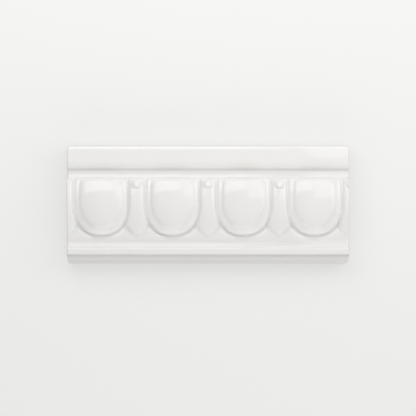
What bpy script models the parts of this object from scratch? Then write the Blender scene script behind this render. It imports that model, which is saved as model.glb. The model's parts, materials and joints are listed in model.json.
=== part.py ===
"""Moulding tile: one glazed ceramic solid with an egg and dart band between plain members.

The back lies on the plane y = 0 and the face looks along -y, with x along the tile and z up.
The origin is at the middle of the back.
"""

import bmesh
import bpy
import numpy as np

MM = 0.001

# Length, and how the pattern divides it
TILE_LENGTH = 152.0 * MM
JOINT_WIDTH = 1.6 * MM
EGG_COUNT = 4

# Heights of the members, from the top edge down
FASCIA_HEIGHT = 13.2 * MM
FILLET_HEIGHT = 4.2 * MM
ENRICHED_HEIGHT = 33.6 * MM
COVE_HEIGHT = 4.3 * MM
NOSE_HEIGHT = 4.0 * MM
HOLLOW_HEIGHT = 2.1 * MM
LIP_HEIGHT = 2.6 * MM

# How far each member stands out from the wall
FASCIA_DEPTH = 14.5 * MM
QUIRK_DEPTH = 12.2 * MM
FILLET_DEPTH = 12.8 * MM
GROUND_UPPER_DEPTH = 15.8 * MM
GROUND_LOWER_DEPTH = 14.2 * MM
COVE_END_DEPTH = 16.3 * MM
NOSE_DEPTH = 17.1 * MM
NOSE_UNDER_DEPTH = 15.2 * MM
HOLLOW_END_DEPTH = 11.8 * MM
LIP_DEPTH = 10.6 * MM

# Roundings of the plain members, the outline's corners and the ends
FASCIA_ARRIS = 2.0 * MM
FASCIA_ROLL = 5.5 * MM
SMALL_ARRIS = 0.8 * MM
CORNER_RADIUS = 2.0 * MM
END_ARRIS = 0.7 * MM

# Where the enriched band's swell is fullest, below the fillet, how the whole band falls back above it,
# and how its ground falls away below
FULLEST_BELOW_FILLET = 13.6 * MM
UPPER_START = 1.0 * MM
UPPER_REACH = 14.0 * MM
UPPER_FALL = 4.5 * MM
GROUND_FALL_START = 12.0 * MM
GROUND_FALL_LENGTH = 16.0 * MM

# Pocket sunk in the ground at both lower sides of each shell, and how far from the centre line it is full
POCKET_DEPTH = 1.2 * MM
POCKET_WIDTH = 1.6 * MM
POCKET_START = 4.0 * MM
POCKET_LENGTH = 8.0 * MM
POCKET_FULL_AT = 11.0 * MM

# Egg: a low oval dome, drawn in below and cut by the fillet above
EGG_HALF_WIDTH = 11.4 * MM
EGG_REACH = 14.0 * MM
EGG_POWER = 1.8
EGG_FULLNESS = 1.8
EGG_HEAD_RADIUS = 5.0 * MM
EGG_DEPTH = 20.2 * MM
EGG_FLANK_SLOPE = 0.8

# Shell: the swell of a wider U on which the egg lies
SHELL_HALF_WIDTH = 14.6 * MM
SHELL_REACH = 17.6 * MM
SHELL_POWER = 2.25
SHELL_SWELL_DEPTH = 17.6 * MM
SHELL_FOOT_DEPTH = 14.6 * MM
SHELL_FULLNESS = 3.2

# Groove that parts the egg from its shell and the shell's raised rim, which both fade out below
GROOVE_DEPTH = 0.3 * MM
GROOVE_WIDTH = 0.7 * MM
RIM_RISE = 0.9 * MM
RIM_INSET = 1.5 * MM
RIM_WIDTH = 1.0 * MM
RIM_FADE_START = 9.0 * MM
RIM_FADE_LENGTH = 12.0 * MM

# Dart: the tongue between two shells, with a point below and a bead above
DART_DEPTH = 18.6 * MM
DART_LOWER_FALL = 2.8 * MM
DART_UPPER_FALL = 0.5 * MM
DART_FALL_REACH = 14.6 * MM
DART_FALL_POWER = 1.6
DART_CROWN = 1.2 * MM
DART_FLANK = 1.8 * MM
DART_HALF_FLARE = 6.2 * MM
DART_POINT_BELOW_FULLEST = 18.2 * MM
DART_POINT_SPREAD = 1.4
BEAD_BELOW_FILLET = 3.7 * MM
BEAD_RADIUS = 2.3 * MM
BEAD_RISE = 1.2 * MM
COLLAR_RADIUS = 3.6 * MM
COLLAR_RISE = 0.35 * MM
RING_DEPTH = 0.5 * MM
RING_WIDTH = 0.5 * MM

# Soft hollows where two forms meet, how steeply a form dives past its own outline,
# and the rounded ledge under the fillet
CREASE_BLEND = 1.4 * MM
FOOT_SLOPE = 3.0
LEDGE_ROUND = 2.0 * MM

# Keyed back
KEY_COUNT = 4
KEY_DEPTH = 1.0 * MM
KEY_WIDTH = 7.0 * MM
KEY_FLOOR_WIDTH = 5.0 * MM
KEY_LAND = 6.0 * MM
KEY_END_MARGIN = 8.0 * MM

# Fineness of the face before and after it is thinned out
GRID_STEP = 0.4 * MM
ARC_STEPS = 6
FACE_TRIANGLES = 8200
TINY = 1e-6

TILE_HEIGHT = (
    FASCIA_HEIGHT + FILLET_HEIGHT + ENRICHED_HEIGHT + COVE_HEIGHT + NOSE_HEIGHT + HOLLOW_HEIGHT + LIP_HEIGHT
)
TOP_Z = TILE_HEIGHT / 2
QUIRK_Z = TOP_Z - FASCIA_HEIGHT
LEDGE_Z = QUIRK_Z - FILLET_HEIGHT
FULLEST_Z = LEDGE_Z - FULLEST_BELOW_FILLET
UPPER_Z = FULLEST_Z + UPPER_START
ENRICHED_END_Z = LEDGE_Z - ENRICHED_HEIGHT
PITCH = (TILE_LENGTH + JOINT_WIDTH) / EGG_COUNT


def clear_scene():
    """Removes whatever the scene holds."""
    for obj in list(bpy.data.objects):
        bpy.data.objects.remove(obj, do_unlink=True)


def quarter(start, end, leaves_level):
    """Points (z, depth) of a quarter ellipse after start, up to end.

    With leaves_level it sets off level, towards or away from the wall, and arrives plumb.
    Otherwise it sets off plumb and arrives level.
    """
    angles = np.linspace(0, np.pi / 2, ARC_STEPS + 1)[1:]
    if leaves_level:
        z = end[0] + (start[0] - end[0]) * np.cos(angles)
        depth = start[1] + (end[1] - start[1]) * np.sin(angles)
    else:
        z = start[0] + (end[0] - start[0]) * np.sin(angles)
        depth = end[1] + (start[1] - end[1]) * np.cos(angles)
    return list(zip(z, depth))


def upper_members():
    """Profile of the fascia and the hollow fillet under it, from the top edge down to the enriched band."""
    points = [(TOP_Z, FASCIA_DEPTH - FASCIA_ARRIS)]
    points += quarter(points[-1], (TOP_Z - FASCIA_ARRIS, FASCIA_DEPTH), True)
    points.append((QUIRK_Z + FASCIA_ROLL, FASCIA_DEPTH))
    points += quarter(points[-1], (QUIRK_Z, QUIRK_DEPTH), False)
    points += quarter(points[-1], (LEDGE_Z, FILLET_DEPTH), False)[:-1]
    return points


def lower_members():
    """Profile of the cove, the nose, the small hollow and the lip, down to the bottom edge."""
    cove_z = ENRICHED_END_Z - COVE_HEIGHT
    nose_z = cove_z - NOSE_HEIGHT
    hollow_z = nose_z - HOLLOW_HEIGHT
    points = [(ENRICHED_END_Z, GROUND_LOWER_DEPTH)]
    points += quarter(points[-1], (cove_z, COVE_END_DEPTH), False)
    points += quarter(points[-1], (cove_z - SMALL_ARRIS, NOSE_DEPTH), True)
    points.append((nose_z + SMALL_ARRIS, NOSE_DEPTH))
    points += quarter(points[-1], (nose_z, NOSE_UNDER_DEPTH), False)
    points += quarter(points[-1], (hollow_z, HOLLOW_END_DEPTH), True)
    points.append((hollow_z - SMALL_ARRIS / 4, LIP_DEPTH))
    points.append((-TOP_Z + SMALL_ARRIS, LIP_DEPTH))
    points += quarter(points[-1], (-TOP_Z, LIP_DEPTH - SMALL_ARRIS), False)
    return points


def smooth_step(share):
    """0 to 1 with level ends."""
    share = np.clip(share, 0, 1)
    return share * share * (3 - 2 * share)


def rounded_rise(share):
    """0 to 1 as a quarter circle: plumb at the start, level at the end."""
    share = np.clip(share, 0, 1)
    return np.sqrt(1 - (1 - share) ** 2)


def smooth_max(a, b, blend):
    """The larger of two heights, with the crease where they cross filled to a soft hollow."""
    near = np.clip(1 - np.abs(a - b) / blend, 0, None)
    return np.maximum(a, b) + near * near * blend / 4


def smooth_min(a, b, blend):
    """The smaller of two distances, with the corner between them rounded."""
    return -smooth_max(-a, -b, blend)


def raised(ground, surface, inside, flank):
    """A form that rises from the ground at its outline and reaches its own surface a flank further in."""
    rise = np.sin(np.pi / 2 * np.clip(inside / flank, 0, 1))
    return ground + (surface - ground) * rise + FOOT_SLOPE * np.minimum(inside, 0)


def u_share(x, z, half_width, reach, power):
    """From 0 on the centre line to 1 on the outline of a U that is upright above its widest line."""
    down = np.clip((FULLEST_Z - z) / reach, 0, None)
    return ((np.abs(x) / half_width) ** power + down**power) ** (1 / power)


def inside_u(x, z, half_width, reach, power):
    """About how far a point is inside that U."""
    share = np.maximum(u_share(x, z, half_width, reach, power), TINY)
    down = np.clip((FULLEST_Z - z) / reach, 0, None)
    x_part = (np.abs(x) / half_width / share) ** (power - 1) / half_width
    z_part = (down / share) ** (power - 1) / reach
    return (1 - share) / np.maximum(np.hypot(x_part, z_part), TINY)


def swell_over(x, z, half_width, reach, power, fullness=2.0):
    """From 1 on the centre line of a swollen U to 0 at its outline, flatter and steeper the fuller it is."""
    return np.clip(1 - u_share(x, z, half_width, reach, power) ** fullness, 0, 1) ** (1 / fullness)


def upper_fall(z):
    """How far the band falls back at height z, above its fullest line."""
    up = np.clip((z - UPPER_Z) / UPPER_REACH, 0, 1)
    return UPPER_FALL * (1 - np.sqrt(1 - up**2))


def ground_depth(z):
    """Depth of the band behind eggs and darts: full above, falling to the cove below."""
    fall = smooth_step((LEDGE_Z - GROUND_FALL_START - z) / GROUND_FALL_LENGTH)
    return GROUND_UPPER_DEPTH + (GROUND_LOWER_DEPTH - GROUND_UPPER_DEPTH) * fall


def pocketed_ground(x, z):
    """The ground round the shell about x = 0, with a pocket at both lower sides of the shell."""
    outside = inside_u(x, z, SHELL_HALF_WIDTH, SHELL_REACH, SHELL_POWER)
    share = smooth_step((FULLEST_Z - z - POCKET_START) / POCKET_LENGTH)
    share *= smooth_step(np.abs(x) / POCKET_FULL_AT)
    return ground_depth(z) - POCKET_DEPTH * share * np.exp(-((outside / POCKET_WIDTH) ** 2))


def egg_half_width(z):
    """Half an egg's width at height z, drawn in round the corners of its head."""
    into_head = np.clip(z - (LEDGE_Z - EGG_HEAD_RADIUS), 0, EGG_HEAD_RADIUS)
    return EGG_HALF_WIDTH - EGG_HEAD_RADIUS + np.sqrt(EGG_HEAD_RADIUS**2 - into_head**2)


def shell_depth(x, z):
    """Surface of the shell about x = 0, with a groove beside the egg and a raised rim in its upper part."""
    shape = (SHELL_HALF_WIDTH, SHELL_REACH, SHELL_POWER)
    inside = inside_u(x, z, *shape)
    from_egg = inside_u(x, z, egg_half_width(z), EGG_REACH, EGG_POWER)
    groove = GROOVE_DEPTH * np.exp(-((from_egg / GROOVE_WIDTH) ** 2))
    rim = RIM_RISE * np.exp(-(((inside - RIM_INSET) / RIM_WIDTH) ** 2))
    fade_z = FULLEST_Z - SHELL_REACH + RIM_FADE_START
    swell = swell_over(x, z, *shape, SHELL_FULLNESS)
    surface = SHELL_FOOT_DEPTH + (SHELL_SWELL_DEPTH - SHELL_FOOT_DEPTH) * swell
    surface += (rim - groove) * smooth_step((z - fade_z) / RIM_FADE_LENGTH)
    return surface + FOOT_SLOPE * np.minimum(inside, 0)


def egg_depth(x, z):
    """Surface of one egg about x = 0."""
    shape = (egg_half_width(z), EGG_REACH, EGG_POWER)
    surface = SHELL_SWELL_DEPTH + (EGG_DEPTH - SHELL_SWELL_DEPTH) * swell_over(x, z, *shape, EGG_FULLNESS)
    surface += EGG_FLANK_SLOPE * np.minimum(inside_u(x, z, *shape), 0)
    inside_shell = inside_u(x, z, SHELL_HALF_WIDTH, SHELL_REACH, SHELL_POWER)
    return surface + FOOT_SLOPE * np.minimum(inside_shell, 0)


def dart_depth(x, z):
    """Surface of one dart about x = 0, with its bead and collar."""
    down = np.minimum(z - FULLEST_Z, 0)
    drawn_in = np.clip(1 - (-down / SHELL_REACH) ** SHELL_POWER, 0, 1) ** (1 / SHELL_POWER)
    shell_edge = SHELL_HALF_WIDTH * drawn_in
    to_shell = PITCH / 2 - shell_edge - np.abs(x)
    to_flare = DART_HALF_FLARE - np.abs(x)
    point_z = FULLEST_Z - DART_POINT_BELOW_FULLEST
    to_point = (DART_POINT_SPREAD * (z - point_z) - np.abs(x)) / np.hypot(1, DART_POINT_SPREAD)
    inside = smooth_min(to_shell, smooth_min(to_flare, to_point, CREASE_BLEND), CREASE_BLEND)
    fall = np.where(z < FULLEST_Z, DART_LOWER_FALL, DART_UPPER_FALL)
    ridge = DART_DEPTH - fall * (np.abs(z - FULLEST_Z) / DART_FALL_REACH) ** DART_FALL_POWER
    crown = ridge - DART_CROWN * np.clip(np.abs(x) / DART_HALF_FLARE, 0, 1) ** 2
    crown += bead_relief(x, z)
    return raised(ground_depth(z), crown, inside, DART_FLANK)


def bead_relief(x, z):
    """What the round bead, the ring cut about it and the collar add to the dart."""
    radius = np.hypot(x, z - (LEDGE_Z - BEAD_BELOW_FILLET))
    bead = BEAD_RISE * np.sqrt(np.clip(1 - (radius / BEAD_RADIUS) ** 2, 0, 1))
    ring = RING_DEPTH * np.exp(-(((radius - BEAD_RADIUS - RING_WIDTH / 2) / RING_WIDTH) ** 2))
    collar = COLLAR_RISE * smooth_step((COLLAR_RADIUS - radius) / RING_WIDTH)
    return bead - ring + collar


def enriched_depth(x, z):
    """Surface of the egg and dart band at any place along the tile."""
    from_egg = (x / PITCH + (EGG_COUNT + 1) / 2 + 0.5) % 1 - 0.5
    from_dart = (x / PITCH + EGG_COUNT / 2 + 0.5) % 1 - 0.5
    surface = smooth_max(pocketed_ground(from_egg * PITCH, z), dart_depth(from_dart * PITCH, z), CREASE_BLEND)
    surface = smooth_max(surface, shell_depth(from_egg * PITCH, z), CREASE_BLEND)
    surface = smooth_max(surface, egg_depth(from_egg * PITCH, z), CREASE_BLEND) - upper_fall(z)
    ledge = np.sin(np.pi / 2 * np.clip((LEDGE_Z - z) / LEDGE_ROUND, 0, 1))
    return np.where(z > FULLEST_Z, FILLET_DEPTH + (surface - FILLET_DEPTH) * ledge, surface)


def profile_rows():
    """Rows (z, plain depth, whether the row is enriched) from the top edge to the bottom edge."""
    band_steps = round(ENRICHED_HEIGHT / GRID_STEP)
    ledge_z = LEDGE_Z - LEDGE_ROUND * (1 - np.cos(np.linspace(0, np.pi / 2, ARC_STEPS)))
    band_z = np.linspace(ledge_z[-1], ENRICHED_END_Z, band_steps)[1:-1]
    rows = [(z, depth, False) for z, depth in upper_members()]
    rows += [(z, 0, True) for z in ledge_z]
    rows += [(z, 0, True) for z in band_z]
    rows += [(z, depth, False) for z, depth in lower_members()]
    return rows


def half_length(z):
    """Half the tile's length at one height, less at the rounded corners of its outline."""
    into_corner = np.clip(np.abs(z) - (TOP_Z - CORNER_RADIUS), 0, CORNER_RADIUS)
    return TILE_LENGTH / 2 - CORNER_RADIUS + np.sqrt(CORNER_RADIUS**2 - into_corner**2)


def column_shares():
    """Places along the half length, from -1 to 1, closer together in the rounded ends."""
    end_share = END_ARRIS / (TILE_LENGTH / 2)
    arris = 1 - end_share * (1 - np.cos(np.linspace(0, np.pi / 2, ARC_STEPS)))
    steps = round(TILE_LENGTH / GRID_STEP)
    middle = np.linspace(-arris[-1], arris[-1], steps)
    return np.concatenate([-arris[:-1], middle, arris[:-1][::-1]])


def face_points():
    """Grid of points on the face, one row of the profile after another."""
    shares = column_shares()
    grid = []
    for z, depth, enriched in profile_rows():
        x = shares * half_length(z)
        depths = enriched_depth(x, z) if enriched else np.full(len(x), depth)
        from_end = half_length(z) - np.abs(x)
        depths = depths - END_ARRIS * (1 - rounded_rise(from_end / END_ARRIS))
        grid.append(np.column_stack([x, -depths, np.full(len(x), z)]))
    return np.array(grid)


def thinned_face():
    """The face as an open mesh, with triangles kept where it curves."""
    grid = face_points()
    rows, columns = grid.shape[:2]
    corner = np.arange(rows * columns).reshape(rows, columns)
    quads = np.stack([corner[:-1, :-1], corner[1:, :-1], corner[1:, 1:], corner[:-1, 1:]], axis=-1)
    mesh = bpy.data.meshes.new("face_grid")
    mesh.from_pydata(grid.reshape(-1, 3).tolist(), [], quads.reshape(-1, 4).tolist())
    helper = bpy.data.objects.new("face_grid", mesh)
    bpy.context.collection.objects.link(helper)
    thin = helper.modifiers.new("Thin out", "DECIMATE")
    thin.ratio = FACE_TRIANGLES / (2 * len(quads.reshape(-1, 4)))
    graph = bpy.context.evaluated_depsgraph_get()
    thinned = bpy.data.meshes.new_from_object(helper.evaluated_get(graph))
    bpy.data.objects.remove(helper, do_unlink=True)
    return thinned


def straighten_rim(bm):
    """Puts the rim's points exactly on the tile's four sides, but for the rounded corners."""
    for vert in bm.verts:
        vert.co.x = np.clip(vert.co.x, -TILE_LENGTH / 2, TILE_LENGTH / 2)
        vert.co.z = np.clip(vert.co.z, -TOP_Z, TOP_Z)
        if not vert.is_boundary:
            continue
        if abs(vert.co.z) < TOP_Z - CORNER_RADIUS:
            vert.co.x = np.copysign(TILE_LENGTH / 2, vert.co.x)
        elif abs(vert.co.x) < TILE_LENGTH / 2 - CORNER_RADIUS:
            vert.co.z = np.copysign(TOP_Z, vert.co.z)


def close_to_the_wall(bm):
    """Carries the face's edge straight back to y = 0 and fills the back."""
    rim = [edge for edge in bm.edges if edge.is_boundary]
    walls = bmesh.ops.extrude_edge_only(bm, edges=rim)["geom"]
    back_verts = [item for item in walls if isinstance(item, bmesh.types.BMVert)]
    for vert in back_verts:
        vert.co.y = 0
    back_edges = [edge for edge in bm.edges if edge.is_boundary]
    bmesh.ops.contextual_create(bm, geom=back_edges)
    bmesh.ops.recalc_face_normals(bm, faces=bm.faces)


def key_cutter():
    """Bars with sloping sides that press shallow grooves into the back, clear of its middle."""
    bm = bmesh.new()
    spread = KEY_WIDTH + KEY_LAND
    length = TILE_LENGTH - 2 * KEY_END_MARGIN
    for number in range(KEY_COUNT):
        z = (number - (KEY_COUNT - 1) / 2) * spread
        bar = bmesh.ops.create_cube(bm, size=1)["verts"]
        for vert in bar:
            deep = vert.co.y < 0
            width = KEY_FLOOR_WIDTH if deep else 2 * KEY_WIDTH - KEY_FLOOR_WIDTH
            vert.co.x *= length - KEY_WIDTH + width
            vert.co.z = z + vert.co.z * width
            vert.co.y = -KEY_DEPTH if deep else KEY_DEPTH
    mesh = bpy.data.meshes.new("key_cutter")
    bm.to_mesh(mesh)
    bm.free()
    cutter = bpy.data.objects.new("key_cutter", mesh)
    cutter.hide_render = True
    cutter.display_type = "WIRE"
    bpy.context.collection.objects.link(cutter)
    return cutter


def glaze_material():
    """Glossy white glaze over a pale body."""
    material = bpy.data.materials.new("white_glaze")
    material.use_nodes = True
    shader = material.node_tree.nodes["Principled BSDF"]
    shader.inputs["Base Color"].default_value = (0.83, 0.82, 0.80, 1)
    shader.inputs["Roughness"].default_value = 0.12
    shader.inputs["Metallic"].default_value = 0
    return material


def make_tile():
    """The whole tile as one object."""
    mesh = thinned_face()
    mesh.name = "moulding_tile"
    bm = bmesh.new()
    bm.from_mesh(mesh)
    straighten_rim(bm)
    close_to_the_wall(bm)
    bm.to_mesh(mesh)
    bm.free()
    mesh.shade_smooth()
    mesh.set_sharp_from_angle(angle=np.radians(40))
    tile = bpy.data.objects.new("moulding_tile", mesh)
    tile.data.materials.append(glaze_material())
    bpy.context.collection.objects.link(tile)
    keys = tile.modifiers.new("Keyed back", "BOOLEAN")
    keys.operation = "DIFFERENCE"
    keys.solver = "EXACT"
    keys.object = key_cutter()
    return tile


def main():
    clear_scene()
    make_tile()


main()
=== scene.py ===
"""Looks of the moulding tile: a white glazed face with an egg and dart band, over a raw back with keys.

The face looks along -y, x runs along the tile and z is up. Lengths are in metres, as in the frame.
"""

import json
import math

import bpy
import numpy as np
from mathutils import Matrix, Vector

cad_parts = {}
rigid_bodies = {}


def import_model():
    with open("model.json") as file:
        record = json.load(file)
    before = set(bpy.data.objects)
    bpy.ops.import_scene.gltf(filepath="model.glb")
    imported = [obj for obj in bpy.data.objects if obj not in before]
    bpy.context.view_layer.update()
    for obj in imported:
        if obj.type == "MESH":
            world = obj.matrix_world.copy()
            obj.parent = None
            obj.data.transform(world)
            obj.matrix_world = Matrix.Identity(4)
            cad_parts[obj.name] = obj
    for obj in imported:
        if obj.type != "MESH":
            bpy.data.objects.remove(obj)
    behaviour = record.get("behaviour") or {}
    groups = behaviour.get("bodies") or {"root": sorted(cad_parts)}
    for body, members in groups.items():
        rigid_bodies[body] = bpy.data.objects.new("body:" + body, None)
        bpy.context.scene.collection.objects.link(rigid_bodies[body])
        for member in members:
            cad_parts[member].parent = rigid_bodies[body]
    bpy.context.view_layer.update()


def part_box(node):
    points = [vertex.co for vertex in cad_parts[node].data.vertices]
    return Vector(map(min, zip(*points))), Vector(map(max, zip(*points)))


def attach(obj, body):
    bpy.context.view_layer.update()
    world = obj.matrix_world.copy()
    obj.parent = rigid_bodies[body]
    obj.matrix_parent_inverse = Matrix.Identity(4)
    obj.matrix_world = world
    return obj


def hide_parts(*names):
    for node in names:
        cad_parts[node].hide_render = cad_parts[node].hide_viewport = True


bl_info = {
    "name": "Egg and dart moulding tile",
    "version": (1, 0, 0),
    "blender": (4, 5, 0),
    "location": "View3D > Sidebar > Moulding tile",
    "description": "Makes a glazed border tile with an egg and dart band, and a plain stage for it",
    "category": "Add Mesh",
}

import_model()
TILE_LOW, TILE_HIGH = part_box("moulding_tile")

MM = 0.001
TINY = 1e-6

# Outline, from the frame
TILE_LENGTH = TILE_HIGH.x - TILE_LOW.x
TOP_Z = TILE_HIGH.z
BACK_Y = TILE_HIGH.y
JOINT_WIDTH = 1.6 * MM

# Heights of the members, from the top edge down
FASCIA_HEIGHT = 13.2 * MM
FILLET_HEIGHT = 4.2 * MM
ENRICHED_HEIGHT = 33.6 * MM
COVE_HEIGHT = 4.3 * MM
NOSE_HEIGHT = 4.0 * MM
HOLLOW_HEIGHT = 2.1 * MM

# How far each member stands out from the back
FASCIA_DEPTH = 14.5 * MM
QUIRK_DEPTH = 12.2 * MM
FILLET_DEPTH = 12.8 * MM
GROUND_UPPER_DEPTH = 15.8 * MM
GROUND_LOWER_DEPTH = 14.2 * MM
COVE_END_DEPTH = 16.3 * MM
NOSE_DEPTH = 17.1 * MM
NOSE_UNDER_DEPTH = 15.2 * MM
HOLLOW_END_DEPTH = 11.8 * MM
LIP_DEPTH = 10.6 * MM

# Roundings of the plain members, the outline's corners and the ends
FASCIA_ARRIS = 2.0 * MM
FASCIA_ROLL = 5.5 * MM
SMALL_ARRIS = 0.8 * MM
CORNER_RADIUS = 2.0 * MM
END_ARRIS = 0.7 * MM

# Where the band's swell is fullest, below the fillet, how the whole band falls back above it,
# and how its ground falls away below
FULLEST_BELOW_FILLET = 13.6 * MM
UPPER_START = 1.0 * MM
UPPER_REACH = 14.0 * MM
UPPER_FALL = 4.5 * MM
GROUND_FALL_START = 12.0 * MM
GROUND_FALL_LENGTH = 16.0 * MM

# Pocket sunk in the ground at both lower sides of each shell, and how far from the centre line it is full
POCKET_DEPTH = 1.2 * MM
POCKET_WIDTH = 1.6 * MM
POCKET_START = 4.0 * MM
POCKET_LENGTH = 8.0 * MM
POCKET_FULL_AT = 11.0 * MM

# Egg: a low oval dome, drawn in below, its head cut by the fillet and rounded at both corners
EGG_REACH = 14.0 * MM
EGG_POWER = 1.8
EGG_FULLNESS = 1.8
EGG_HEAD_RADIUS = 5.0 * MM
EGG_FLANK_SLOPE = 0.8

# Shell: the swell of a wider U on which the egg lies
SHELL_REACH = 17.6 * MM
SHELL_POWER = 2.25
SHELL_SWELL_DEPTH = 17.6 * MM
SHELL_FOOT_DEPTH = 14.6 * MM
SHELL_FULLNESS = 3.2

# Groove that parts the egg from its shell and the shell's rim, which both fade out below
GROOVE_WIDTH = 0.7 * MM
RIM_INSET = 1.5 * MM
RIM_WIDTH = 1.0 * MM
RIM_RISE = 0.9 * MM
RIM_FADE_START = 9.0 * MM
RIM_FADE_LENGTH = 12.0 * MM

# Dart between two shells, with a point below and a bead above
DART_LOWER_FALL = 2.8 * MM
DART_UPPER_FALL = 0.5 * MM
DART_FALL_REACH = 14.6 * MM
DART_FALL_POWER = 1.6
DART_CROWN = 1.2 * MM
DART_FLANK = 1.8 * MM
DART_HALF_FLARE = 6.2 * MM
DART_POINT_BELOW_FULLEST = 18.2 * MM
DART_POINT_SPREAD = 1.4
BEAD_BELOW_FILLET = 3.7 * MM
BEAD_RISE = 1.2 * MM
COLLAR_RADIUS = 3.6 * MM
COLLAR_RISE = 0.35 * MM
RING_DEPTH = 0.5 * MM
RING_WIDTH = 0.5 * MM

# Soft hollows where two forms meet, how steeply a form dives past its own outline,
# and the rounded ledge under the fillet
CREASE_BLEND = 1.4 * MM
FOOT_SLOPE = 3.0
LEDGE_ROUND = 2.0 * MM

# How the face's points are laid out: steps round an arc, across a flat, and passes that slide them
ARC_STEPS = 8
FLAT_STEPS = 5
SLIDE_PASSES = 60
SLIDE_SHARE = 0.5

# Slow unevenness of the glaze: how far it rises, and its waves a metre along x and z
SWELL_RISE = 0.03 * MM
SWELL_WAVES = ((31, 17, 0.4), (13, 41, 2.1), (67, 29, 4.4), (23, 83, 5.3))

# Where glaze gathers, with painted shade in the hollows and a painted highlight over edges: how many passes
# average the neighbours, and the hollow that counts as full
POOL_AND_SHADE_PASSES = 14
POOL_AND_SHADE_DEPTH = 0.28 * MM

# Raw rim under the glaze's lower edge, which wavers
RIM_WAVES = ((5, 0.0), (9, 1.7), (16, 0.6), (27, 3.9))
RIM_WAVER = 0.12 * MM
BACK_ARRIS = 0.4 * MM

# Keys in the back
KEY_LAND = 6.0 * MM
KEY_END_MARGIN = 8.0 * MM
KEY_TAPER = 1.0 * MM
KEY_EDGE_ROUND = 0.25 * MM
KEY_EDGE_STEPS = 3
SMOOTH_ANGLE = math.radians(40)

# How far up the raw rim its faces count as clay, as a share of its height
CLAY_SHARE_OF_RIM = 0.97

# Values between which a noise is read: its middle part, and all but its ends
NOISE_MIDDLE = (0.35, 0.65)
NOISE_SPAN = (0.3, 0.7)

# Glaze: clouds, waves and pinholes to the metre, and how far waves and pinholes go up or down
GLAZE_CLOUDS = 60
GLAZE_CLOUD_SHARE = 0.35
GLAZE_WAVES = 110
GLAZE_WAVE_RISE = 0.03 * MM
GLAZE_SMOOTHEST = 0.8
GLAZE_ROUGHEST = 1.25
GLAZE_REFRACTION = 1.52
PINHOLES = 90
PINHOLE_RADIUS = 0.03
PINHOLE_DEPTH = 0.05 * MM
PINHOLE_STRENGTH = 0.5

# Clay: clouds, tooth and grains to the metre, and how far tooth and grains stand up
CLAY_CLOUDS = 45
CLAY_SHADE = 0.9
CLAY_TOOTH = 1600
CLAY_TOOTH_RISE = 0.08 * MM
CLAY_GRAINS = 700
CLAY_GRAIN_EDGE = (0.12, 0.3)
CLAY_GRAIN_SHARE = 0.8
CLAY_GRAIN_RISE = 0.06 * MM
CLAY_ROUGHNESS = (0.78, 0.95)

# Stage: the side of its square panels, their roughness, and the gap behind the tile
PANEL_SIDE = 8.0
PANEL_ROUGHNESS = 0.9
BACKDROP_GAP = 0.5 * MM
CAMERA_CLIP_START = 0.01

# Soft lights: where each one stands, what it faces, and its width and height
TILE_MIDDLE = (0, 0, 0)
KEY_LIGHT_PLACE = (-0.135, -0.30, 0.30)
KEY_LIGHT_AIM = (-0.135, 0, 0.30)
KEY_LIGHT_SIZE = (0.33, 0.44)
KEY_LIGHT_ROLL = math.radians(6)
TOP_PLACE = (0, -0.15, 0.60)
TOP_SIZE = (0.70, 0.30)
RIGHT_PLACE = (0.285, -0.30, 0.215)
RIGHT_AIM = (0.285, 0, 0.215)
RIGHT_SIZE = (0.43, 0.37)
SIDE_PLACE = (0.42, -0.25, 0.08)
SIDE_SIZE = (0.30, 0.35)
LOW_PLACE = (0, -0.20, -0.42)
LOW_SIZE = (0.60, 0.30)

TILE_HEIGHT = TILE_HIGH.z - TILE_LOW.z
QUIRK_Z = TOP_Z - FASCIA_HEIGHT
LEDGE_Z = QUIRK_Z - FILLET_HEIGHT
FULLEST_Z = LEDGE_Z - FULLEST_BELOW_FILLET
ENRICHED_END_Z = LEDGE_Z - ENRICHED_HEIGHT
UPPER_Z = FULLEST_Z + UPPER_START


class TileSizes(bpy.types.PropertyGroup):
    """Sizes of the tile's ornament and of its glaze."""

    egg_count: bpy.props.IntProperty(name="Eggs", description="Eggs along the tile", default=4, min=1)
    egg_depth: bpy.props.FloatProperty(
        name="Egg depth", description="From the back to an egg's crown", default=20.17 * MM, unit="LENGTH"
    )
    egg_half_width: bpy.props.FloatProperty(
        name="Egg half width", description="From an egg's centre to its side",
        default=11.4 * MM, unit="LENGTH",
    )
    shell_half_width: bpy.props.FloatProperty(
        name="Shell half width", description="From an egg's centre to its shell's side",
        default=14.6 * MM, unit="LENGTH",
    )
    groove_depth: bpy.props.FloatProperty(
        name="Groove depth", description="How deep the groove between egg and shell is",
        default=0.3 * MM, unit="LENGTH",
    )
    dart_depth: bpy.props.FloatProperty(
        name="Dart depth", description="From the back to a dart's ridge", default=18.6 * MM, unit="LENGTH"
    )
    bead_radius: bpy.props.FloatProperty(
        name="Bead radius", description="Radius of the bead over each dart", default=2.3 * MM, unit="LENGTH"
    )
    face_step: bpy.props.FloatProperty(
        name="Face step", description="Distance between the face's points", default=0.38 * MM, unit="LENGTH"
    )
    glaze_rounding: bpy.props.IntProperty(
        name="Glaze rounding", description="Passes that soften the relief as glaze does", default=3, min=0
    )
    glaze_thickness: bpy.props.FloatProperty(
        name="Glaze thickness", description="How far the glaze stands proud of the raw rim",
        default=0.15 * MM, unit="LENGTH",
    )
    raw_rim: bpy.props.FloatProperty(
        name="Raw rim", description="Height of the raw rim above the back", default=1.8 * MM, unit="LENGTH"
    )
    key_count: bpy.props.IntProperty(name="Keys", description="Keys across the back", default=4, min=0)
    key_width: bpy.props.FloatProperty(
        name="Key width", description="Width of a key at the back", default=7.0 * MM, unit="LENGTH"
    )
    key_depth: bpy.props.FloatProperty(
        name="Key depth", description="Depth of a key", default=1.0 * MM, unit="LENGTH"
    )


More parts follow.
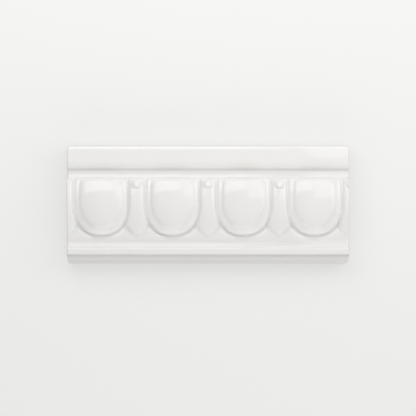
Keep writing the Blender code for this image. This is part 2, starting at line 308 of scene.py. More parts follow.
class TileFinish(bpy.types.PropertyGroup):
    """Colours and gloss of the glaze and of the raw clay."""

    glaze_colour: bpy.props.FloatVectorProperty(
        name="Glaze", description="Colour of the glaze", subtype="COLOR", default=(0.823, 0.815, 0.799)
    )
    # Darker colour put into the hollows: glaze that gathers there, and painted shade
    pooled_and_shaded_colour: bpy.props.FloatVectorProperty(
        name="Pooled glaze", description="Colour where the glaze gathers", subtype="COLOR",
        default=(0.793, 0.785, 0.769),
    )
    # Lighter colour put over the edges: glaze that draws thin there, and a painted highlight
    thin_and_highlit_colour: bpy.props.FloatVectorProperty(
        name="Thin glaze", description="Colour where the glaze runs thin", subtype="COLOR",
        default=(0.838, 0.83, 0.813),
    )
    glaze_roughness: bpy.props.FloatProperty(
        name="Glaze roughness", description="Roughness of the glaze", default=0.07, subtype="FACTOR"
    )
    clay_colour: bpy.props.FloatVectorProperty(
        name="Clay", description="Colour of the raw clay", subtype="COLOR", default=(0.84, 0.775, 0.675)
    )
    clay_grog_colour: bpy.props.FloatVectorProperty(
        name="Clay grains", description="Colour of the grains in the clay", subtype="COLOR",
        default=(0.62, 0.54, 0.45),
    )


class StageSettings(bpy.types.PropertyGroup):
    """The backdrop, the lights and the camera."""

    camera_distance: bpy.props.FloatProperty(
        name="Camera distance", description="From the fascia to the camera", default=1.0, unit="LENGTH"
    )
    camera_drop: bpy.props.FloatProperty(
        name="Camera drop", description="How far the camera is below the tile's middle",
        default=1.9 * MM, unit="LENGTH",
    )
    lens: bpy.props.FloatProperty(
        name="Lens", description="Focal length in millimetres", default=160.5, subtype="UNSIGNED"
    )
    backdrop_colour: bpy.props.FloatVectorProperty(
        name="Backdrop", description="Colour of the backdrop", subtype="COLOR", default=(0.86, 0.86, 0.85)
    )
    floor_colour: bpy.props.FloatVectorProperty(
        name="Floor", description="Colour of the floor", subtype="COLOR", default=(0.84, 0.84, 0.83)
    )
    floor_drop: bpy.props.FloatProperty(
        name="Floor drop", description="From the tile's middle down to the floor", default=0.9, unit="LENGTH"
    )
    backdrop_glow: bpy.props.FloatProperty(
        name="Backdrop glow", description="How much of the backdrop's light is its own",
        default=0.6, subtype="FACTOR",
    )
    key_brightness: bpy.props.FloatProperty(
        name="Key light", description="Brightness of the key light's face", default=2.0, subtype="UNSIGNED"
    )
    right_brightness: bpy.props.FloatProperty(
        name="Right light", description="Brightness of the right-hand light's face",
        default=1.25, subtype="UNSIGNED",
    )
    side_brightness: bpy.props.FloatProperty(
        name="Side light", description="Brightness of the low light on the right",
        default=0.9, subtype="UNSIGNED",
    )
    top_brightness: bpy.props.FloatProperty(
        name="Top light", description="Brightness of the overhead light's face",
        default=0.45, subtype="UNSIGNED",
    )
    low_brightness: bpy.props.FloatProperty(
        name="Low light", description="Brightness of the light from below", default=1.45, subtype="UNSIGNED"
    )
    fill_brightness: bpy.props.FloatProperty(
        name="Fill", description="Brightness of the surroundings", default=0.45, subtype="UNSIGNED"
    )


def deselect_everything():
    if bpy.context.object and bpy.context.object.mode != "OBJECT":
        bpy.ops.object.mode_set(mode="OBJECT")
    bpy.ops.object.select_all(action="DESELECT")


def select_only(obj):
    deselect_everything()
    obj.select_set(True)
    bpy.context.view_layer.objects.active = obj


def select_faces(obj, wanted):
    """Selects the faces of obj for which wanted(centre) holds, and goes to edit mode."""
    select_only(obj)
    bpy.ops.object.mode_set(mode="EDIT")
    bpy.ops.mesh.select_mode(type="FACE")
    bpy.ops.mesh.select_all(action="DESELECT")
    bpy.ops.object.mode_set(mode="OBJECT")
    for face in obj.data.polygons:
        face.select = wanted(face.center)
    bpy.ops.object.mode_set(mode="EDIT")


def quarter(start, end, leaves_level):
    """Points (z, depth) of a quarter ellipse after start, up to end.

    It leaves start square to the back and arrives along it when leaves_level is True,
    and the reverse otherwise.
    """
    angles = np.linspace(0, np.pi / 2, ARC_STEPS + 1)[1:]
    if leaves_level:
        z = end[0] + (start[0] - end[0]) * np.cos(angles)
        depth = start[1] + (end[1] - start[1]) * np.sin(angles)
    else:
        z = start[0] + (end[0] - start[0]) * np.sin(angles)
        depth = end[1] + (start[1] - end[1]) * np.cos(angles)
    return list(zip(z, depth))


def flat_to(start, z):
    """Points (z, depth) that carry a flat on from start down to z."""
    return [(height, start[1]) for height in np.linspace(start[0], z, FLAT_STEPS + 1)[1:]]


def upper_members():
    """Points (z, depth) down the fascia and the hollow fillet under it, from the tile's top edge."""
    points = [(TOP_Z, FASCIA_DEPTH - FASCIA_ARRIS)]
    points += quarter(points[-1], (TOP_Z - FASCIA_ARRIS, FASCIA_DEPTH), True)
    points += flat_to(points[-1], QUIRK_Z + FASCIA_ROLL)
    points += quarter(points[-1], (QUIRK_Z, QUIRK_DEPTH), False)
    points += quarter(points[-1], (LEDGE_Z, FILLET_DEPTH), False)[:-1]
    return points


def lower_members():
    """Points (z, depth) down the cove, the nose, its hollow and the lip."""
    cove_z = ENRICHED_END_Z - COVE_HEIGHT
    nose_z = cove_z - NOSE_HEIGHT
    hollow_z = nose_z - HOLLOW_HEIGHT
    points = [(ENRICHED_END_Z, GROUND_LOWER_DEPTH)]
    points += quarter(points[-1], (cove_z, COVE_END_DEPTH), False)
    points += quarter(points[-1], (cove_z - SMALL_ARRIS, NOSE_DEPTH), True)
    points += flat_to(points[-1], nose_z + SMALL_ARRIS)
    points += quarter(points[-1], (nose_z, NOSE_UNDER_DEPTH), False)
    points += quarter(points[-1], (hollow_z, HOLLOW_END_DEPTH), True)
    points.append((hollow_z - SMALL_ARRIS / 4, LIP_DEPTH))
    points.append((-TOP_Z + SMALL_ARRIS, LIP_DEPTH))
    points += quarter(points[-1], (-TOP_Z, LIP_DEPTH - SMALL_ARRIS), False)
    return points


def smooth_step(share):
    share = np.clip(share, 0, 1)
    return share * share * (3 - 2 * share)


def rounded_rise(share):
    """Rises steeply at 0 and levels out at 1, as a quarter circle does."""
    share = np.clip(share, 0, 1)
    return np.sqrt(1 - (1 - share) ** 2)


def smooth_max(a, b, blend):
    near = np.clip(1 - np.abs(a - b) / blend, 0, None)
    return np.maximum(a, b) + near * near * blend / 4


def smooth_min(a, b, blend):
    return -smooth_max(-a, -b, blend)


def raised(ground, surface, inside, flank):
    """A form that rises from the ground over a soft flank, and dives under it past its own outline."""
    rise = np.sin(np.pi / 2 * np.clip(inside / flank, 0, 1))
    return ground + (surface - ground) * rise + FOOT_SLOPE * np.minimum(inside, 0)


def u_share(x, z, half_width, reach, power):
    """From 0 on the centre line to 1 on the outline of a U that is upright above its widest line."""
    down = np.clip((FULLEST_Z - z) / reach, 0, None)
    return ((np.abs(x) / half_width) ** power + down**power) ** (1 / power)


def inside_u(x, z, half_width, reach, power):
    """About how far a point is inside that U."""
    share = np.maximum(u_share(x, z, half_width, reach, power), TINY)
    down = np.clip((FULLEST_Z - z) / reach, 0, None)
    x_part = (np.abs(x) / half_width / share) ** (power - 1) / half_width
    z_part = (down / share) ** (power - 1) / reach
    return (1 - share) / np.maximum(np.hypot(x_part, z_part), TINY)


def swell_over(x, z, half_width, reach, power, fullness):
    """From 1 on the centre line of a swollen U to 0 at its outline, flatter and steeper the fuller it is."""
    return np.clip(1 - u_share(x, z, half_width, reach, power) ** fullness, 0, 1) ** (1 / fullness)


def upper_fall(z):
    """How far the band falls back at height z, above its fullest line."""
    up = np.clip((z - UPPER_Z) / UPPER_REACH, 0, 1)
    return UPPER_FALL * (1 - np.sqrt(1 - up**2))


def ground_depth(z):
    fall = smooth_step((LEDGE_Z - GROUND_FALL_START - z) / GROUND_FALL_LENGTH)
    return GROUND_UPPER_DEPTH + (GROUND_LOWER_DEPTH - GROUND_UPPER_DEPTH) * fall


def egg_half_width(sizes, z):
    """Half an egg's width at height z, drawn in round the corners of its head."""
    into_head = np.clip(z - (LEDGE_Z - EGG_HEAD_RADIUS), 0, EGG_HEAD_RADIUS)
    return sizes.egg_half_width - EGG_HEAD_RADIUS + np.sqrt(EGG_HEAD_RADIUS**2 - into_head**2)


def egg_depth(sizes, x, z):
    """An egg centred on x = 0."""
    shape = (egg_half_width(sizes, z), EGG_REACH, EGG_POWER)
    swell = swell_over(x, z, *shape, EGG_FULLNESS)
    surface = SHELL_SWELL_DEPTH + (sizes.egg_depth - SHELL_SWELL_DEPTH) * swell
    surface += EGG_FLANK_SLOPE * np.minimum(inside_u(x, z, *shape), 0)
    inside_shell = inside_u(x, z, sizes.shell_half_width, SHELL_REACH, SHELL_POWER)
    return surface + FOOT_SLOPE * np.minimum(inside_shell, 0)


def shell_depth(sizes, x, z):
    """The shell round an egg centred on x = 0, with a groove beside the egg and a raised rim further out."""
    shape = (sizes.shell_half_width, SHELL_REACH, SHELL_POWER)
    inside = inside_u(x, z, *shape)
    from_egg = inside_u(x, z, egg_half_width(sizes, z), EGG_REACH, EGG_POWER)
    groove = sizes.groove_depth * np.exp(-((from_egg / GROOVE_WIDTH) ** 2))
    rim = RIM_RISE * np.exp(-(((inside - RIM_INSET) / RIM_WIDTH) ** 2))
    fade_z = FULLEST_Z - SHELL_REACH + RIM_FADE_START
    swell = swell_over(x, z, *shape, SHELL_FULLNESS)
    surface = SHELL_FOOT_DEPTH + (SHELL_SWELL_DEPTH - SHELL_FOOT_DEPTH) * swell
    surface += (rim - groove) * smooth_step((z - fade_z) / RIM_FADE_LENGTH)
    return surface + FOOT_SLOPE * np.minimum(inside, 0)


def pocketed_ground(sizes, x, z):
    """The ground round the shell centred on x = 0, with a pocket at both lower sides of the shell."""
    outside = inside_u(x, z, sizes.shell_half_width, SHELL_REACH, SHELL_POWER)
    share = smooth_step((FULLEST_Z - z - POCKET_START) / POCKET_LENGTH)
    share *= smooth_step(np.abs(x) / POCKET_FULL_AT)
    return ground_depth(z) - POCKET_DEPTH * share * np.exp(-((outside / POCKET_WIDTH) ** 2))


def bead_relief(sizes, x, z):
    """A bead in a ring and a collar, near the head of a dart centred on x = 0."""
    radius = np.hypot(x, z - (LEDGE_Z - BEAD_BELOW_FILLET))
    bead = BEAD_RISE * np.sqrt(np.clip(1 - (radius / sizes.bead_radius) ** 2, 0, 1))
    ring = RING_DEPTH * np.exp(-(((radius - sizes.bead_radius - RING_WIDTH / 2) / RING_WIDTH) ** 2))
    collar = COLLAR_RISE * smooth_step((COLLAR_RADIUS - radius) / RING_WIDTH)
    return bead - ring + collar


def dart_depth(sizes, pitch, x, z):
    """A dart centred on x = 0, between the shells on both sides of it."""
    down = np.minimum(z - FULLEST_Z, 0)
    drawn_in = np.clip(1 - (-down / SHELL_REACH) ** SHELL_POWER, 0, 1) ** (1 / SHELL_POWER)
    shell_edge = sizes.shell_half_width * drawn_in
    to_shell = pitch / 2 - shell_edge - np.abs(x)
    to_flare = DART_HALF_FLARE - np.abs(x)
    point_z = FULLEST_Z - DART_POINT_BELOW_FULLEST
    to_point = (DART_POINT_SPREAD * (z - point_z) - np.abs(x)) / np.hypot(1, DART_POINT_SPREAD)
    inside = smooth_min(to_shell, smooth_min(to_flare, to_point, CREASE_BLEND), CREASE_BLEND)
    fall = np.where(z < FULLEST_Z, DART_LOWER_FALL, DART_UPPER_FALL)
    ridge = sizes.dart_depth - fall * (np.abs(z - FULLEST_Z) / DART_FALL_REACH) ** DART_FALL_POWER
    crown = ridge - DART_CROWN * np.clip(np.abs(x) / DART_HALF_FLARE, 0, 1) ** 2
    crown += bead_relief(sizes, x, z)
    return raised(ground_depth(z), crown, inside, DART_FLANK)


def enriched_depth(sizes, x, z):
    """Depth of the band: darts, shells and eggs over its ground, and a rounded ledge under the fillet."""
    pitch = (TILE_LENGTH + JOINT_WIDTH) / sizes.egg_count
    from_egg = (x / pitch + (sizes.egg_count + 1) / 2 + 0.5) % 1 - 0.5
    from_dart = (x / pitch + sizes.egg_count / 2 + 0.5) % 1 - 0.5
    ground = pocketed_ground(sizes, from_egg * pitch, z)
    surface = smooth_max(ground, dart_depth(sizes, pitch, from_dart * pitch, z), CREASE_BLEND)
    surface = smooth_max(surface, shell_depth(sizes, from_egg * pitch, z), CREASE_BLEND)
    surface = smooth_max(surface, egg_depth(sizes, from_egg * pitch, z), CREASE_BLEND) - upper_fall(z)
    ledge = np.sin(np.pi / 2 * np.clip((LEDGE_Z - z) / LEDGE_ROUND, 0, 1))
    return np.where(z > FULLEST_Z, FILLET_DEPTH + (surface - FILLET_DEPTH) * ledge, surface)


def profile_rows(sizes):
    """Heights of the face's rows from the bottom up, their depths, and whether each is in the band."""
    band_steps = round(ENRICHED_HEIGHT / sizes.face_step)
    ledge_z = LEDGE_Z - LEDGE_ROUND * (1 - np.cos(np.linspace(0, np.pi / 2, ARC_STEPS)))
    band_z = np.linspace(ledge_z[-1], ENRICHED_END_Z, band_steps)[1:-1]
    rows = [(z, depth, False) for z, depth in upper_members()]
    rows += [(z, 0, True) for z in ledge_z]
    rows += [(z, 0, True) for z in band_z]
    rows += [(z, depth, False) for z, depth in lower_members()]
    height, depth, in_band = np.array(rows[::-1]).T
    return height, depth, in_band > 0


def half_length(z):
    """Half the tile's length at height z, drawn in round its corners."""
    into_corner = np.clip(np.abs(z) - (TOP_Z - CORNER_RADIUS), 0, CORNER_RADIUS)
    return TILE_LENGTH / 2 - CORNER_RADIUS + np.sqrt(CORNER_RADIUS**2 - into_corner**2)


def column_shares(sizes):
    """Places of the face's columns as shares of half the length, closer together at both ends."""
    end_share = END_ARRIS / (TILE_LENGTH / 2)
    arris = 1 - end_share * (1 - np.cos(np.linspace(0, np.pi / 2, ARC_STEPS)))
    middle = np.linspace(-arris[-1], arris[-1], round(TILE_LENGTH / sizes.face_step))
    return np.concatenate([-arris[:-1], middle, arris[:-1][::-1]])


def slide_along(values, heights, step):
    """Values of the inner points, pulled towards the neighbour that lies further off along the relief."""
    rise = np.diff(heights, axis=step)
    run = np.diff(values, axis=step)
    stretch = np.sqrt(1 + (rise / np.where(np.abs(run) < TINY, TINY, run)) ** 2)
    before = np.delete(stretch, -1, axis=step)
    after = np.delete(stretch, 0, axis=step)
    lower = np.delete(values, [-1, -2], axis=step)
    upper = np.delete(values, [0, 1], axis=step)
    return (before * lower + after * upper) / (before + after)


def spread_points(sizes, x, z):
    """Slides the band's points over the relief, so that steep flanks get as many of them as level parts."""
    for _ in range(SLIDE_PASSES):
        depth = enriched_depth(sizes, x, z)
        x_goal = slide_along(x, depth, 1)
        z_goal = slide_along(z, depth, 0)
        x[:, 1:-1] += SLIDE_SHARE * (x_goal - x[:, 1:-1])
        z[1:-1, :] += SLIDE_SHARE * (z_goal - z[1:-1, :])
    return x, z


def glaze_swell(x, z):
    """The slow unevenness of a fired glaze."""
    swell = sum(np.sin(2 * np.pi * (u * x + v * z) + turn) for u, v, turn in SWELL_WAVES)
    return SWELL_RISE * swell / len(SWELL_WAVES)


def face_points(sizes):
    """Arrays x, depth and z of the face's points, by row from the bottom and by column."""
    height, depth, in_band = profile_rows(sizes)
    shares = column_shares(sizes)
    z = np.repeat(height[:, None], len(shares), axis=1)
    x = shares * half_length(z)
    depths = np.repeat(depth[:, None], len(shares), axis=1)
    x[in_band], z[in_band] = spread_points(sizes, x[in_band], z[in_band])
    depths[in_band] = enriched_depth(sizes, x[in_band], z[in_band])
    from_end = half_length(z) - np.abs(x)
    depths -= END_ARRIS * (1 - rounded_rise(from_end / END_ARRIS))
    depths += glaze_swell(x, z) * smooth_step(from_end / CORNER_RADIUS)
    return x, depths, z


def pooling_and_painted_light(depths):
    """From 1 where the glaze gathers in a hollow, where shade is also painted, to -1 where it draws thin over
    an edge, where a highlight is also painted.
    """
    mean = depths.copy()
    for _ in range(POOL_AND_SHADE_PASSES):
        padded = np.pad(mean, 1, mode="edge")
        mean = (padded[:-2, 1:-1] + padded[2:, 1:-1] + padded[1:-1, :-2] + padded[1:-1, 2:]) / 4
    return np.clip((mean - depths) / POOL_AND_SHADE_DEPTH, -1, 1)


def add_face(sizes):
    """The front: a grid laid over the tile, with its points pressed into the relief."""
    x, depths, z = face_points(sizes)
    rows, columns = x.shape
    deselect_everything()
    bpy.ops.mesh.primitive_grid_add(
        x_subdivisions=columns - 1, y_subdivisions=rows - 1, size=1, rotation=(math.pi / 2, 0, 0)
    )
    tile = bpy.context.object
    tile.name = tile.data.name = "egg_and_dart_tile"
    bpy.ops.object.transform_apply(location=True, rotation=True, scale=True)
    points = np.column_stack([x.ravel(), BACK_Y - depths.ravel(), z.ravel()])
    tile.data.vertices.foreach_set("co", points.ravel())
    # Hollows and edges, for glaze pooling with painted shade in the hollows and painted highlights over edges
    pool = tile.data.attributes.new("glaze_pool_and_painted_light", "FLOAT", "POINT")
    pool.data.foreach_set("value", pooling_and_painted_light(depths).ravel())
    bpy.ops.object.mode_set(mode="EDIT")
    bpy.ops.mesh.select_all(action="SELECT")
    bpy.ops.mesh.select_less()
    bpy.ops.mesh.vertices_smooth(factor=0.5, repeat=sizes.glaze_rounding)
    bpy.ops.object.mode_set(mode="OBJECT")
    return tile


def extrude_rim(y, inward=0.0):
    """In edit mode, takes the selected rim on to the plane y, drawn in from the outline by inward."""
    bpy.ops.mesh.extrude_edges_move()
    bpy.ops.transform.resize(
        value=(1 - inward / (TILE_LENGTH / 2), 0, 1 - inward / (TILE_HEIGHT / 2)), center_override=(0, y, 0)
    )


def waver_rim(tile):
    """Lets the glaze's lower edge, which is selected, rise and fall round the tile."""
    bpy.ops.object.mode_set(mode="OBJECT")
    for vert in tile.data.vertices:
        if vert.select:
            angle = math.atan2(vert.co.z, vert.co.x)
            vert.co.y += RIM_WAVER * sum(math.sin(count * angle + turn) for count, turn in RIM_WAVES)
    bpy.ops.object.mode_set(mode="EDIT")


def add_walls(tile, sizes):
    """The sides: glazed down to a wavering edge, then the raw rim, an arris and the flat back."""
    bpy.ops.object.mode_set(mode="EDIT")
    bpy.ops.mesh.select_mode(type="EDGE")
    bpy.ops.mesh.select_all(action="DESELECT")
    bpy.ops.mesh.select_non_manifold(
        use_wire=False, use_multi_face=False, use_non_contiguous=False, use_verts=False
    )
    raw_y = BACK_Y - sizes.raw_rim
    extrude_rim(raw_y - sizes.glaze_thickness)
    waver_rim(tile)
    extrude_rim(raw_y, sizes.glaze_thickness)
    waver_rim(tile)
    extrude_rim(BACK_Y - BACK_ARRIS)
    extrude_rim(BACK_Y, BACK_ARRIS)
    bpy.ops.mesh.edge_face_add()
    bpy.ops.object.mode_set(mode="OBJECT")


def cut_keys(tile, sizes):
    """Shallow keys along the back: cut out of it by lines, sunk, drawn in and softened."""
    half_x = TILE_LENGTH / 2 - KEY_END_MARGIN
    spacing = sizes.key_width + KEY_LAND
    centres = [(key - (sizes.key_count - 1) / 2) * spacing for key in range(sizes.key_count)]
    cuts = [((x, 0, 0), (1, 0, 0)) for x in (-half_x, half_x)]
    cuts += [((0, 0, z + side * sizes.key_width / 2), (0, 0, 1)) for z in centres for side in (-1, 1)]
    for place, direction in cuts:
        select_faces(tile, lambda centre: centre.y > BACK_Y - TINY)
        bpy.ops.mesh.bisect(plane_co=place, plane_no=direction)
    for z in centres:
        select_faces(
            tile,
            lambda centre: centre.y > BACK_Y - TINY
            and abs(centre.x) < half_x
            and abs(centre.z - z) < sizes.key_width / 2,
        )
        bpy.ops.mesh.extrude_region_move(TRANSFORM_OT_translate={"value": (0, -sizes.key_depth, 0)})
        bpy.ops.transform.resize(
            value=(1 - KEY_TAPER / half_x, 1, 1 - KEY_TAPER / (sizes.key_width / 2)),
            center_override=(0, BACK_Y - sizes.key_depth, z),
        )
        bpy.ops.mesh.select_mode(type="EDGE")
        bpy.ops.mesh.bevel(offset=KEY_EDGE_ROUND, segments=KEY_EDGE_STEPS, affect="EDGES")
        bpy.ops.object.mode_set(mode="OBJECT")


def add_nodes(material, *kinds):
    """New shader nodes of these kinds, in order."""
    return [material.node_tree.nodes.new("ShaderNode" + kind) for kind in kinds]


def new_material(name):
    """A material with one Principled shader, and a function that links two sockets in it."""
    material = bpy.data.materials.new(name)
    material.use_nodes = True
    shader = material.node_tree.nodes["Principled BSDF"]
    return material, shader, material.node_tree.links.new


def noise(material, link, place, scale, detail):
    """Noise over the tile, scale to the metre."""
    (node,) = add_nodes(material, "TexNoise")
    node.inputs["Scale"].default_value = scale
    node.inputs["Detail"].default_value = detail
    link(place.outputs["Object"], node.inputs["Vector"])
    return node


def map_range(material, link, source, given, wanted):
    """The source's value, carried over from the given range to the wanted one."""
    (node,) = add_nodes(material, "MapRange")
    node.inputs["From Min"].default_value, node.inputs["From Max"].default_value = given
    node.inputs["To Min"].default_value, node.inputs["To Max"].default_value = wanted
    link(source, node.inputs["Value"])
    return node.outputs["Result"]


def mix_colour(material, link, share, first, second):
    """A mix of two colours, each a fixed value or another node's output."""
    (node,) = add_nodes(material, "Mix")
    node.data_type = "RGBA"
    link(share, node.inputs["Factor"])
    for colour, socket in ((first, node.inputs[6]), (second, node.inputs[7])):
        if isinstance(colour, bpy.types.NodeSocket):
            link(colour, socket)
        else:
            socket.default_value = (*colour, 1)
    return node.outputs[2]


def glaze_material(finish):
    """White glaze: darker where it pools in hollows, with painted shade there, lighter where it draws thin
    over edges, with a painted highlight there, and with slow waves and a few pinholes.
    """
    material, shader, link = new_material("white_glaze")
    place, pool, holes, wave_bump, hole_bump = add_nodes(
        material, "TexCoord", "Attribute", "TexVoronoi", "Bump", "Bump"
    )
    pool.attribute_name = "glaze_pool_and_painted_light"
    cloud = noise(material, link, place, scale=GLAZE_CLOUDS, detail=3)
    waves = noise(material, link, place, scale=GLAZE_WAVES, detail=1)
    # Darker in the hollows and lighter over the edges: glaze pooling and thinning, with painted shade and
    # painted highlights
    pooled = map_range(material, link, pool.outputs["Fac"], (0, 1), (0, 1))
    thin = map_range(material, link, pool.outputs["Fac"], (0, -1), (0, 1))
    clouded = map_range(material, link, cloud.outputs["Fac"], NOISE_MIDDLE, (0, GLAZE_CLOUD_SHARE))
    colour = mix_colour(material, link, clouded, finish.glaze_colour, finish.pooled_and_shaded_colour)
    colour = mix_colour(material, link, thin, colour, finish.thin_and_highlit_colour)
    colour = mix_colour(material, link, pooled, colour, finish.pooled_and_shaded_colour)
    link(colour, shader.inputs["Base Color"])
    roughness = (finish.glaze_roughness * GLAZE_SMOOTHEST, finish.glaze_roughness * GLAZE_ROUGHEST)
    rough = map_range(material, link, cloud.outputs["Fac"], NOISE_SPAN, roughness)
    link(rough, shader.inputs["Roughness"])
    wave_bump.inputs["Strength"].default_value = 1
    wave_bump.inputs["Distance"].default_value = GLAZE_WAVE_RISE
    link(waves.outputs["Fac"], wave_bump.inputs["Height"])
    holes.inputs["Scale"].default_value = PINHOLES
    link(place.outputs["Object"], holes.inputs["Vector"])
    pit = map_range(material, link, holes.outputs["Distance"], (0, PINHOLE_RADIUS), (0, 1))
    hole_bump.inputs["Strength"].default_value = PINHOLE_STRENGTH
    hole_bump.inputs["Distance"].default_value = PINHOLE_DEPTH
    link(pit, hole_bump.inputs["Height"])
    link(wave_bump.outputs["Normal"], hole_bump.inputs["Normal"])
    link(hole_bump.outputs["Normal"], shader.inputs["Normal"])
    shader.inputs["IOR"].default_value = GLAZE_REFRACTION
    return material


def clay_material(finish):
    """Raw fired clay: a dry cream body with darker grains and a fine tooth."""
    material, shader, link = new_material("raw_clay")
    place, grains, tooth_bump, grain_bump = add_nodes(material, "TexCoord", "TexVoronoi", "Bump", "Bump")
    cloud = noise(material, link, place, scale=CLAY_CLOUDS, detail=4)
    tooth = noise(material, link, place, scale=CLAY_TOOTH, detail=4)
    grains.inputs["Scale"].default_value = CLAY_GRAINS
    link(place.outputs["Object"], grains.inputs["Vector"])
    speck = map_range(material, link, grains.outputs["Distance"], CLAY_GRAIN_EDGE, (CLAY_GRAIN_SHARE, 0))
    shade = tuple(value * CLAY_SHADE for value in finish.clay_colour)
    clouded = map_range(material, link, cloud.outputs["Fac"], NOISE_SPAN, (0, 1))
    colour = mix_colour(material, link, clouded, finish.clay_colour, shade)
    colour = mix_colour(material, link, speck, colour, finish.clay_grog_colour)
    link(colour, shader.inputs["Base Color"])
    rough = map_range(material, link, tooth.outputs["Fac"], NOISE_SPAN, CLAY_ROUGHNESS)
    link(rough, shader.inputs["Roughness"])
    tooth_bump.inputs["Distance"].default_value = CLAY_TOOTH_RISE
    link(tooth.outputs["Fac"], tooth_bump.inputs["Height"])
    grain_bump.inputs["Distance"].default_value = CLAY_GRAIN_RISE
    link(grains.outputs["Distance"], grain_bump.inputs["Height"])
    link(tooth_bump.outputs["Normal"], grain_bump.inputs["Normal"])
    link(grain_bump.outputs["Normal"], shader.inputs["Normal"])
    return material


def plain_material(name, colour):
    material, shader, _ = new_material(name)
    shader.inputs["Base Color"].default_value = (*colour, 1)
    shader.inputs["Roughness"].default_value = PANEL_ROUGHNESS
    return material


def add_tile(sizes, finish):
    """The whole tile: face, sides, keyed back and both finishes."""
    tile = add_face(sizes)
    add_walls(tile, sizes)
    cut_keys(tile, sizes)
    tile.data.materials.append(glaze_material(finish))
    tile.data.materials.append(clay_material(finish))
    raw_depth = sizes.raw_rim * CLAY_SHARE_OF_RIM
    select_faces(tile, lambda centre: centre.y > BACK_Y - raw_depth)
    tile.active_material_index = 1
    bpy.ops.object.material_slot_assign()
    bpy.ops.object.mode_set(mode="OBJECT")
    bpy.ops.object.shade_smooth_by_angle(angle=SMOOTH_ANGLE)
    return tile


def add_panel(name, place, turn, material):
    """A flat square panel of the stage."""
    deselect_everything()
    bpy.ops.mesh.primitive_plane_add(size=PANEL_SIDE, location=place, rotation=turn)
    panel = bpy.context.object
    panel.name = panel.data.name = name
    bpy.ops.object.transform_apply(location=True, rotation=True, scale=True)
    panel.data.materials.append(material)
    return panel


def backdrop_material(colour, glow):
    """A plain, evenly lit panel that is seen from the front only."""
    material, shader, link = new_material("backdrop")
    shader.inputs["Base Color"].default_value = (*[value * (1 - glow) for value in colour], 1)
    shader.inputs["Specular IOR Level"].default_value = 0
    shader.inputs["Roughness"].default_value = PANEL_ROUGHNESS
    shader.inputs["Emission Color"].default_value = (*colour, 1)
    shader.inputs["Emission Strength"].default_value = glow
    side, clear, mix = add_nodes(material, "NewGeometry", "BsdfTransparent", "MixShader")
    link(side.outputs["Backfacing"], mix.inputs["Fac"])
    link(shader.outputs["BSDF"], mix.inputs[1])
    link(clear.outputs["BSDF"], mix.inputs[2])
    link(mix.outputs["Shader"], material.node_tree.nodes["Material Output"].inputs["Surface"])
    return material


def add_soft_light(name, place, aim, size, brightness, roll=0.0):
    """A soft box at place that faces aim, seen only in what it lights. Its brightness is that of its face."""
    deselect_everything()
    bpy.ops.object.light_add(type="AREA", location=place)
    light = bpy.context.object
    light.name = name
    light.data.shape = "RECTANGLE"
    light.data.size, light.data.size_y = size
    light.data.energy = brightness * math.pi * size[0] * size[1]
    direction = [end - start for start, end in zip(place, aim)]
    light.rotation_euler = Vector(direction).to_track_quat("-Z", "Y").to_euler()
    light.rotation_euler.rotate_axis("Z", roll)
    light.visible_camera = False


def add_surroundings(strength):
    world = bpy.data.worlds.new("studio")
    bpy.context.scene.world = world
    world.use_nodes = True
    background = world.node_tree.nodes["Background"]
    background.inputs["Color"].default_value = (1, 1, 1, 1)
    background.inputs["Strength"].default_value = strength


def add_camera(stage):
    deselect_everything()
    place = (0, BACK_Y - FASCIA_DEPTH - stage.camera_distance, -stage.camera_drop)
    bpy.ops.object.camera_add(location=place, rotation=(math.pi / 2, 0, 0))
    camera = bpy.context.object
    camera.name = "front_camera"
    camera.data.lens = stage.lens
    camera.data.clip_start = CAMERA_CLIP_START
    bpy.context.scene.camera = camera


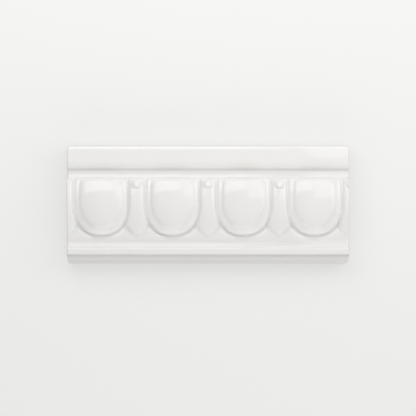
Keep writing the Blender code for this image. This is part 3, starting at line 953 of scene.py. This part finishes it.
def set_stage(stage):
    back_place = (0, BACK_Y + BACKDROP_GAP, 0)
    back_material = backdrop_material(stage.backdrop_colour, stage.backdrop_glow)
    backdrop = add_panel("backdrop", back_place, (math.pi / 2, 0, 0), back_material)
    backdrop.visible_shadow = False
    backdrop.visible_diffuse = False
    backdrop.visible_glossy = False
    floor_material = plain_material("floor", stage.floor_colour)
    add_panel("floor", (0, 0, -stage.floor_drop), (0, 0, 0), floor_material)
    add_soft_light(
        "key", KEY_LIGHT_PLACE, KEY_LIGHT_AIM, KEY_LIGHT_SIZE, stage.key_brightness, KEY_LIGHT_ROLL
    )
    add_soft_light("top", TOP_PLACE, TILE_MIDDLE, TOP_SIZE, stage.top_brightness)
    add_soft_light("right", RIGHT_PLACE, RIGHT_AIM, RIGHT_SIZE, stage.right_brightness)
    add_soft_light("side", SIDE_PLACE, TILE_MIDDLE, SIDE_SIZE, stage.side_brightness)
    add_soft_light("low", LOW_PLACE, TILE_MIDDLE, LOW_SIZE, stage.low_brightness)
    add_surroundings(stage.fill_brightness)
    add_camera(stage)
    bpy.context.scene.view_settings.view_transform = "Standard"


class MOULDING_OT_add_tile(bpy.types.Operator):
    """Add the glazed tile in the place of its plain solid"""

    bl_idname = "moulding.add_tile"
    bl_label = "Add tile"
    bl_options = {"REGISTER", "UNDO"}

    def execute(self, context):
        tile = add_tile(context.scene.tile_sizes, context.scene.tile_finish)
        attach(tile, "root")
        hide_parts("moulding_tile")
        return {"FINISHED"}


class MOULDING_OT_set_stage(bpy.types.Operator):
    """Set up the floor, the backdrop, the lights and the camera"""

    bl_idname = "moulding.set_stage"
    bl_label = "Set stage"
    bl_options = {"REGISTER", "UNDO"}

    def execute(self, context):
        set_stage(context.scene.stage_settings)
        return {"FINISHED"}


class MOULDING_PT_sidebar(bpy.types.Panel):
    """Lists what makes the tile and its stage"""

    bl_idname = "MOULDING_PT_sidebar"
    bl_label = "Moulding tile"
    bl_space_type = "VIEW_3D"
    bl_region_type = "UI"
    bl_category = "Moulding tile"

    def draw(self, context):
        for group in (context.scene.tile_sizes, context.scene.tile_finish, context.scene.stage_settings):
            box = self.layout.box()
            for name in group.__annotations__:
                box.prop(group, name)
        self.layout.operator("moulding.add_tile")
        self.layout.operator("moulding.set_stage")


CLASSES = (
    TileSizes,
    TileFinish,
    StageSettings,
    MOULDING_OT_add_tile,
    MOULDING_OT_set_stage,
    MOULDING_PT_sidebar,
)


def register():
    for item in CLASSES:
        bpy.utils.register_class(item)
    bpy.types.Scene.tile_sizes = bpy.props.PointerProperty(type=TileSizes)
    bpy.types.Scene.tile_finish = bpy.props.PointerProperty(type=TileFinish)
    bpy.types.Scene.stage_settings = bpy.props.PointerProperty(type=StageSettings)


def unregister():
    del bpy.types.Scene.tile_sizes
    del bpy.types.Scene.tile_finish
    del bpy.types.Scene.stage_settings
    for item in reversed(CLASSES):
        bpy.utils.unregister_class(item)


def main():
    register()
    bpy.ops.moulding.add_tile()
    bpy.ops.moulding.set_stage()


if __name__ == "__main__":
    main()
